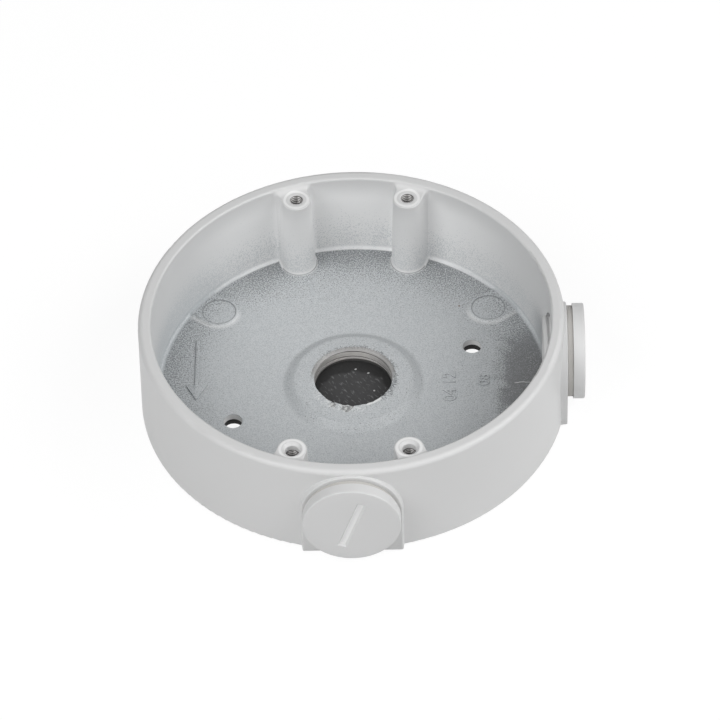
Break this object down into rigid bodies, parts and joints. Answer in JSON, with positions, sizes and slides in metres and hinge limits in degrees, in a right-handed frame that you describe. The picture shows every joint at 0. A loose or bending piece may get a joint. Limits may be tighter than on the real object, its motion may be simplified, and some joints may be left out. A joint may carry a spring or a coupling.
{
  "type": "camera junction box",
  "caption": "Round open die-cast junction box for a dome camera, with screw posts, a threaded centre hole, a back gasket and coin-slot plugs in its side entries.",
  "frame": {"origin": "middle of the gasket's underside, where the box meets the wall or the table", "axes": "+Z out of the open side along the centre hole; one side entry faces -Y, the other +X"},
  "size_m": [0.1283, 0.1283, 0.0317],
  "materials": {
    "casting_paint": "white powder coat on cast aluminium, fine grain",
    "plug_paint": "white powder coat, smooth",
    "seal_rubber": "pale grey rubber, matt",
    "gasket_rubber": "black rubber sheet, matt"
  },
  "bodies": {
    "box": {"housing": "casting_paint", "back_gasket": "gasket_rubber"},
    "front_seal": {"front_seal": "seal_rubber"},
    "front_plug": {"front_plug": "plug_paint"},
    "side_seal": {"side_seal": "seal_rubber"},
    "side_plug": {"side_plug": "plug_paint"}
  },
  "joints": [
    {"name": "front_unscrew_travel", "type": "slide", "parent": "box", "child": "front_seal", "axis": [0, -1, 0], "range_m": [0, 0.0069]},
    {"name": "front_unscrew", "type": "hinge", "parent": "front_seal", "child": "front_plug", "pos_m": [0, -0.0617, 0.0162], "axis": [0, -1, 0], "range_deg": [0, 1350]},
    {"name": "side_unscrew_travel", "type": "slide", "parent": "box", "child": "side_seal", "axis": [1, 0, 0], "range_m": [0, 0.0069]},
    {"name": "side_unscrew", "type": "hinge", "parent": "side_seal", "child": "side_plug", "pos_m": [0.0617, 0, 0.0162], "axis": [1, 0, 0], "range_deg": [0, 1350]}
  ],
  "couplings": [
    {"joint": "front_unscrew_travel", "follows": "front_unscrew", "m_per_rad": 0.00028871},
    {"joint": "side_unscrew_travel", "follows": "side_unscrew", "m_per_rad": 0.00028871}
  ]
}
